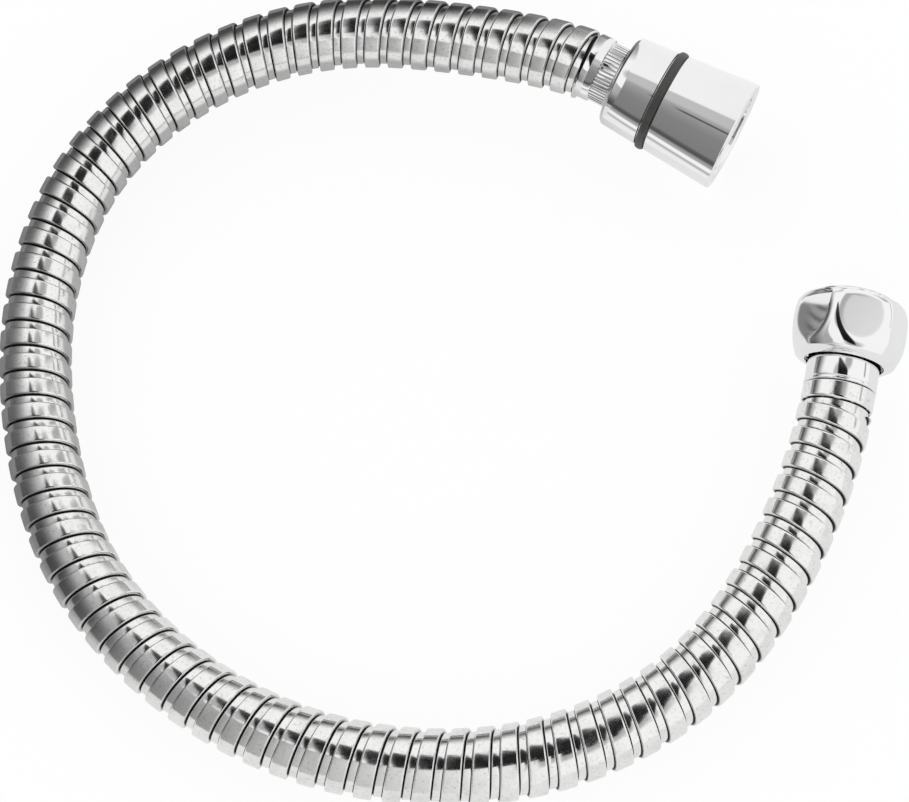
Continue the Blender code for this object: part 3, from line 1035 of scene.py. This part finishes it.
def grip_ring():
    """Rubber ring, rounded outside, in the conical nut's groove."""
    middle = CONE_REAR + RING_PLACE
    half = 0.00085
    outside = cone_radius(RING_PLACE) + 0.0005
    inside = outside - 0.00115
    crown = 0.0004
    shoulder = outside - crown
    outline = [(inside, middle - half), (shoulder, middle - half)]
    for i in range(1, 8):
        angle = math.pi * i / 8
        outline.append((shoulder + crown * math.sin(angle), middle - half * math.cos(angle)))
    outline += [(shoulder, middle + half), (inside, middle + half)]
    ring = turned("grip_ring", outline, sides=160)
    smooth(ring, 50.0)
    return ring


class HOSE_OT_inner_tube(bpy.types.Operator):
    """Finish the plastic tube inside the strip"""

    bl_idname = "hose.inner_tube"
    bl_label = "Inner tube"

    def execute(self, context):
        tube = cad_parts["inner_tube"]
        plastic = clear_plastic()
        tube.data.materials.clear()
        tube.data.materials.append(plastic)
        return {"FINISHED"}


# Grey walls of the studio: bearing, height, half width, half height and soft edge in degrees, and how bright
STUDIO_WALLS = [
    (40.0, 28.0, 8.0, 13.0, 5.0, 0.45),
    (15.0, 17.0, 16.0, 2.5, 1.5, 0.35),
]

# Grey rounds high up: bearing, height, radius and soft edge in degrees, and how bright
STUDIO_ROUNDS = [
    (-75.0, 62.0, 16.0, 8.0, 0.45),
    (45.0, 66.0, 10.0, 4.0, 0.45),
    (160.0, 75.0, 12.0, 4.0, 0.50),
]

# Black gap overhead, as on a flat ceiling one unit up: middle and half size eastwards and northwards
GAP_EAST = 0.03
GAP_NORTH = -0.05
GAP_HALF_WIDTH = 0.27
GAP_HALF_LENGTH = 0.50
GAP_SOFT = 0.04

# Its north-east corner is cut off where this share of east plus north passes from the one to the other
CORNER_SLANT = 0.77
CORNER_FROM = 0.37
CORNER_TO = 0.28

# How black it is, how much it fades to the north, and where it starts and ends to fade
GAP_DEPTH = 0.985
GAP_FADE = 0.05
FADE_FROM = 0.12
FADE_TO = 0.30


def studio_light(tree):
    """Brightness of the studio by direction: white all round, with grey walls and a black gap overhead."""
    where = tree.node("ShaderNodeTexCoord", output="Generated")

    def along(vector):
        sockets = {0: where, 1: vector}
        return tree.node("ShaderNodeVectorMath", {"operation": "DOT_PRODUCT"}, sockets, output="Value")

    rise = along((0.0, 0.0, 1.0))
    level = tree.sum("ARCSINE", rise) * (180 / math.pi)
    light = 1.0
    for bearing, height, half_width, half_height, soft, bright in STUDIO_WALLS:
        ahead = direction(bearing, 0.0)
        side = direction(bearing + 90.0, 0.0)
        off = tree.sum("ARCTAN2", along(side), along(ahead)) * (180 / math.pi)
        across = tree.smooth(tree.sum("ABSOLUTE", off), half_width + soft, half_width - soft)
        up = tree.smooth(tree.sum("ABSOLUTE", level - height), half_height + soft, half_height - soft)
        mask = across * up
        light = light * (1 - mask) + mask * bright
    for bearing, height, radius, soft, bright in STUDIO_ROUNDS:
        reach = math.cos(math.radians(radius + soft))
        near = math.cos(math.radians(radius - soft))
        mask = tree.smooth(along(direction(bearing, height)), reach, near)
        light = light * (1 - mask) + mask * bright
    high = tree.sum("MAXIMUM", rise, 0.05)
    east = along((1.0, 0.0, 0.0)) / high
    north = along((0.0, 1.0, 0.0)) / high
    off_east = tree.sum("ABSOLUTE", east - GAP_EAST)
    off_north = tree.sum("ABSOLUTE", north - GAP_NORTH)
    across = tree.smooth(off_east, GAP_HALF_WIDTH + GAP_SOFT, GAP_HALF_WIDTH - GAP_SOFT)
    length = tree.smooth(off_north, GAP_HALF_LENGTH + GAP_SOFT, GAP_HALF_LENGTH - GAP_SOFT)
    corner = tree.smooth(CORNER_SLANT * east + north, CORNER_FROM, CORNER_TO)
    depth = GAP_DEPTH - GAP_FADE * tree.smooth(north, FADE_FROM, FADE_TO)
    return light * (1 - depth * across * length * corner)


# Ring wall round the hose, seen only in reflections: degrees of bearing, and its brightness low and high up
RING_LOW = [
    (60.0, 1.0),
    (68.0, 0.45),
    (78.0, 0.30),
    (86.0, 0.08),
    (92.0, 0.025),
    (98.0, 0.06),
    (140.0, 0.07),
    (152.0, 0.13),
    (163.0, 0.17),
    (178.0, 0.12),
    (195.0, 0.06),
    (206.0, 0.09),
    (218.0, 0.25),
    (229.0, 0.33),
    (246.0, 0.55),
    (265.0, 0.72),
    (285.0, 1.0),
]
RING_HIGH = [
    (60.0, 1.0),
    (150.0, 1.0),
    (162.0, 0.75),
    (172.0, 0.55),
    (200.0, 0.42),
    (229.0, 0.40),
    (246.0, 0.62),
    (265.0, 0.82),
    (285.0, 1.0),
]
RING_RADIUS = 0.175
RING_HEIGHT = 0.25

# Heights between which its brightness passes from low to high
RING_FOOT = 0.03
RING_TOP = 0.17


def by_turn(tree, turn, stops, start):
    """Brightness by a share of a full turn, from stops in degrees. The start is the share at no degrees."""
    ramp = [(start + angle / 360.0, level) for angle, level in stops]
    return tree.node("ShaderNodeValToRGB", {"stops": ramp}, {0: turn})


def only_in_reflections(card):
    """Let a card be seen only by what reflects it, and throw no light or shadow."""
    card.visible_camera = False
    card.visible_diffuse = False
    card.visible_transmission = False
    card.visible_shadow = False


def ring_wall():
    """Low wall that rings the hose's north and west sides, dark at its foot and pale at its top."""
    bpy.ops.mesh.primitive_circle_add(vertices=180, radius=RING_RADIUS)
    wall = bpy.context.object
    wall.name = "ring_wall"
    edit(wall)
    rise = {"value": (0.0, 0.0, RING_HEIGHT)}
    bpy.ops.mesh.extrude_region_move(TRANSFORM_OT_translate=rise)
    bpy.ops.mesh.select_all(action="DESELECT")
    leave_edit()
    for vertex in wall.data.vertices:
        bearing = math.degrees(math.atan2(vertex.co.y, vertex.co.x)) % 360.0
        vertex.select = not RING_LOW[0][0] < bearing < RING_LOW[-1][0]
    bpy.ops.object.mode_set(mode="EDIT")
    bpy.ops.mesh.delete(type="VERT")
    leave_edit()
    material = new_material("ring_wall")
    tree = ShaderTree(material)
    x, y, z = tree.split(placed_coordinates(tree))
    bearing = tree.sum("ARCTAN2", y * -1, x * -1) / (2 * math.pi) + 0.5
    low = by_turn(tree, bearing, RING_LOW, 0.0)
    high = by_turn(tree, bearing, RING_HIGH, 0.0)
    tree.glow(tree.blend(low, high, tree.smooth(z, RING_FOOT, RING_TOP)), 1.0)
    wall.data.materials.append(material)
    only_in_reflections(wall)


# Brightness of the card round the conical nut, by degrees from the side that faces the camera
CARD_STOPS = [
    (-180.0, 0.96),
    (-24.5, 0.96),
    (-22.5, 0.56),
    (-9.0, 0.56),
    (-4.0, 0.38),
    (9.5, 0.28),
    (18.0, 0.24),
    (48.0, 0.22),
    (52.5, 0.10),
    (58.0, 0.09),
    (61.5, 0.34),
    (67.0, 0.42),
    (69.5, 1.0),
    (75.5, 1.0),
    (78.5, 0.50),
    (82.0, 0.50),
    (86.0, 0.92),
    (180.0, 0.95),
]
CARD_RADIUS = 0.026
CARD_REAR = -0.0041
CARD_FRONT = 0.036
CARD_FACING = 24.3

# Dark line along the card: degrees at its edge and its full depth, where it starts and is full, and how dark
LINE_EDGE = 1.7
LINE_MIDDLE = 0.9
LINE_FROM = 0.008
LINE_TO = 0.014
LINE_DEPTH = 0.75


def bent_card(name, radius):
    """Card bent into a tube round the conical nut."""
    bpy.ops.mesh.primitive_cylinder_add(
        vertices=96,
        radius=radius,
        depth=CARD_FRONT - CARD_REAR,
        end_fill_type="NOTHING",
        location=(0.0, 0.0, (CARD_FRONT + CARD_REAR) / 2),
    )
    card = bpy.context.object
    card.name = name
    pick_only(card)
    bpy.ops.object.transform_apply(location=True, rotation=True, scale=True)
    card.matrix_world = CONE_AXIS
    material = new_material(name)
    card.data.materials.append(material)
    only_in_reflections(card)
    return material


def card_back():
    """Pale back of the card, for what stands outside it."""
    tree = ShaderTree(bent_card("card_back", CARD_RADIUS + 0.0005))
    tree.glow(grey(0.95), 1.0)


def nut_card():
    """Card round the conical nut, seen only in reflections: pale, grey and dark strips along its length."""
    tree = ShaderTree(bent_card("nut_card", CARD_RADIUS))
    facing = Matrix.Rotation(math.radians(CARD_FACING), 4, "Z")
    ahead, side, z = tree.split(placed_coordinates(tree, facing))
    turn = tree.sum("ARCTAN2", side, ahead) * (180 / math.pi)
    shade = by_turn(tree, turn / 360.0 + 0.5, CARD_STOPS, 0.5)
    across = tree.smooth(tree.sum("ABSOLUTE", turn), LINE_EDGE, LINE_MIDDLE)
    line = across * tree.smooth(z, LINE_FROM, LINE_TO)
    tree.glow(shade, 1 - LINE_DEPTH * line)


# Floor: how bright it looks, how pale its matt part is, and how much darker it is in reflections everywhere,
# outside the loop, and inside it
FLOOR_SHOWN = 0.90
FLOOR_MATT = 0.12
MIRRORED_LESS = 0.14
OUTSIDE_LESS = 0.62
INSIDE_LESS = 0.38

# Where it turns darker: distances from the middle at the loop's hollow and at the loop itself, and how far
# north-westwards outside and inside the loop
HOLLOW_EDGE = (0.045, 0.062)
LOOP_EDGE = (0.078, 0.095)
OUTSIDE_TURN = (-0.02, 0.08)
INSIDE_TURN = (0.0, 0.07)


def lay_floor():
    """White floor that keeps the hose's shadow, and looks darker in parts to what it is mirrored in."""
    bpy.ops.mesh.primitive_plane_add(size=6.0)
    floor = bpy.context.object
    floor.name = "floor"
    material = new_material("pale_floor")
    tree = ShaderTree(material)
    x, y, _ = tree.split(placed_coordinates(tree))
    reach = tree.sum("SQRT", x * x + y * y)
    beyond = tree.smooth(reach, *LOOP_EDGE)
    outside = beyond * tree.smooth(y - x, *OUTSIDE_TURN)
    band = (1 - beyond) * tree.smooth(reach, *HOLLOW_EDGE)
    inside = band * tree.smooth(y - x, *INSIDE_TURN)
    mirrored = tree.node("ShaderNodeLightPath", output="Is Glossy Ray")
    less = MIRRORED_LESS + OUTSIDE_LESS * outside + INSIDE_LESS * inside
    shown = FLOOR_SHOWN - mirrored * less
    glow = tree.node("ShaderNodeEmission", None, {"Color": grey(1.0), "Strength": shown})
    matt = tree.node("ShaderNodeBsdfDiffuse", None, {"Color": grey(FLOOR_MATT)})
    both = tree.node("ShaderNodeAddShader", None, {0: glow, 1: matt})
    tree.node("ShaderNodeOutputMaterial", None, {"Surface": both})
    floor.data.materials.append(material)


def light_studio(scene):
    """World that lights the hose as the studio does, and is plain white to the camera."""
    world = bpy.data.worlds.new("studio")
    scene.world = world
    tree = ShaderTree(world)
    seen = tree.node("ShaderNodeLightPath", output="Is Camera Ray")
    light = studio_light(tree)
    shown = light * (1 - seen) + seen
    backdrop = tree.node("ShaderNodeBackground", None, {"Color": grey(1.0), "Strength": shown})
    tree.node("ShaderNodeOutputWorld", None, {"Surface": backdrop})
    scene.view_settings.view_transform = "Standard"


# Camera: what it looks at, degrees that it is raised and swung, how far back it stands, and its lens
CAMERA_TARGET = (0.00187, -0.00293, 0.00752)
CAMERA_RAISED = 68.5
CAMERA_SWUNG = 12.9
CAMERA_BACK = 0.533
CAMERA_LENS = 102.97


def set_camera(scene):
    """Camera at the photograph's view: above the hose, tipped a little to one side."""
    raised = math.radians(CAMERA_RAISED)
    swung = math.radians(CAMERA_SWUNG)
    level = Vector((math.sin(swung), -math.cos(swung), 0.0))
    back = level * math.cos(raised) + Vector((0.0, 0.0, math.sin(raised)))
    flat_right = Vector((-level.y, level.x, 0.0))
    flat_up = back.cross(flat_right)
    right = flat_right * math.cos(swung) - flat_up * math.sin(swung)
    up = flat_right * math.sin(swung) + flat_up * math.cos(swung)
    turns = Matrix((right, up, back)).transposed().to_4x4()
    camera = bpy.data.objects.new("camera", bpy.data.cameras.new("camera"))
    scene.collection.objects.link(camera)
    camera.data.lens = CAMERA_LENS
    camera.data.sensor_width = 36.0
    camera.data.clip_start = 0.01
    camera.data.clip_end = 20.0
    camera.matrix_world = Matrix.Translation(Vector(CAMERA_TARGET) + back * CAMERA_BACK) @ turns
    scene.camera = camera


class HOSE_OT_stage(bpy.types.Operator):
    """Lay the floor, light the studio and set the camera"""

    bl_idname = "hose.stage"
    bl_label = "Floor, light and camera"

    def execute(self, context):
        lay_floor()
        nut_card()
        card_back()
        ring_wall()
        light_studio(context.scene)
        set_camera(context.scene)
        return {"FINISHED"}


class HOSE_PT_panel(bpy.types.Panel):
    """The hose's pieces and sizes"""

    bl_label = "Flexible hose"
    bl_space_type = "VIEW_3D"
    bl_region_type = "UI"
    bl_category = "Hose"

    def draw(self, context):
        scene = context.scene
        for group in (scene.hose_sizes, scene.hose_colours):
            for key in group.__annotations__:
                self.layout.prop(group, key)
        for operator in OPERATORS:
            self.layout.operator(operator.bl_idname)


OPERATORS = (
    HOSE_OT_stage,
    HOSE_OT_hexagonal_end,
    HOSE_OT_conical_end,
    HOSE_OT_strip,
    HOSE_OT_inner_tube,
)
CLASSES = (HoseSizes, FinishColours, *OPERATORS, HOSE_PT_panel)


def register():
    for made in CLASSES:
        bpy.utils.register_class(made)
    bpy.types.Scene.hose_sizes = bpy.props.PointerProperty(type=HoseSizes)
    bpy.types.Scene.hose_colours = bpy.props.PointerProperty(type=FinishColours)


def unregister():
    del bpy.types.Scene.hose_colours
    del bpy.types.Scene.hose_sizes
    for made in reversed(CLASSES):
        bpy.utils.unregister_class(made)


def main():
    register()
    bpy.ops.hose.stage()
    bpy.ops.hose.hexagonal_end()
    bpy.ops.hose.conical_end()
    bpy.ops.hose.strip()
    bpy.ops.hose.inner_tube()


if __name__ == "__main__":
    main()
